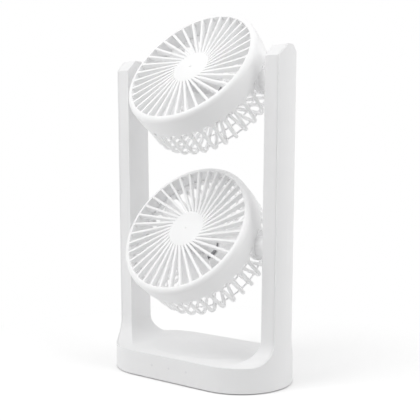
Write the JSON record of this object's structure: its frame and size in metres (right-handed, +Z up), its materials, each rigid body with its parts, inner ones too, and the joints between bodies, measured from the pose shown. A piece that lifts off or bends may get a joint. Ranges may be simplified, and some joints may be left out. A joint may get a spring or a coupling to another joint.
{
  "type": "twin desk fan",
  "caption": "Free-standing desk fan: a U-shaped stand on a rounded base holds round grilled fan heads one above the other, each tilting on side pivots round a spinning impeller.",
  "frame": {"origin": "on the floor under the middle of the base, in the underside of the non-slip pad", "axes": "+Z up, +X to the fan's own left as it faces -Y (right in a front view), +Y to the back; the heads blow towards -Y"},
  "size_m": [0.211, 0.1358, 0.3712],
  "materials": {
    "shell_white": "satin white moulded plastic",
    "head_white": "satin white moulded plastic",
    "impeller_white": "smooth white moulded plastic",
    "plate_grey": "fine-grained pale plastic",
    "foot_rubber": "matt soft rubber",
    "screw_steel": "plated steel",
    "battery_foil": "foil wrap",
    "board_green": "circuit board",
    "socket_steel": "bent sheet steel",
    "key_grey": "smooth pale grey mark",
    "pin_plastic": "smooth white plastic",
    "washer_plastic": "dull grey plastic",
    "motor_steel": "plated steel can",
    "bush_bronze": "sintered bronze",
    "shaft_steel": "ground steel"
  },
  "bodies": {
    "stand": {"outer_shell": "shell_white", "inner_shell": "shell_white", "base_plate": "plate_grey", "rubber_pad": "foot_rubber", "base_screws": "screw_steel", "battery_pack": "battery_foil", "control_board": "board_green", "charging_socket": "socket_steel", "touch_keys": "key_grey", "touch_board": "board_green", "lower_pivot_pins": "pin_plastic", "lower_friction_washers": "washer_plastic", "upper_pivot_pins": "pin_plastic", "upper_friction_washers": "washer_plastic"},
    "lower_head": {"lower_drum": "head_white", "lower_front_grille": "head_white", "lower_rear_guard": "head_white", "lower_motor": "motor_steel", "lower_motor_bushes": "bush_bronze", "lower_motor_screws": "screw_steel"},
    "lower_rotor": {"lower_motor_shaft": "shaft_steel", "lower_impeller": "impeller_white"},
    "upper_head": {"upper_drum": "head_white", "upper_front_grille": "head_white", "upper_rear_guard": "head_white", "upper_motor": "motor_steel", "upper_motor_bushes": "bush_bronze", "upper_motor_screws": "screw_steel"},
    "upper_rotor": {"upper_motor_shaft": "shaft_steel", "upper_impeller": "impeller_white"}
  },
  "joints": [
    {"name": "lower_tilt", "type": "hinge", "parent": "stand", "child": "lower_head", "pos_m": [0, -0.0027, 0.136], "axis": [-1, 0, 0], "range_deg": [-125, 55]},
    {"name": "lower_spin", "type": "hinge", "parent": "lower_head", "child": "lower_rotor", "pos_m": [0, -0.0027, 0.136], "axis": [0, -0.8192, 0.5736], "continuous": true},
    {"name": "upper_tilt", "type": "hinge", "parent": "stand", "child": "upper_head", "pos_m": [0, 0.004, 0.2968], "axis": [-1, 0, 0], "range_deg": [-128.3, 51.7]},
    {"name": "upper_spin", "type": "hinge", "parent": "upper_head", "child": "upper_rotor", "pos_m": [0, 0.004, 0.2968], "axis": [0, -0.7848, 0.6198], "continuous": true}
  ]
}
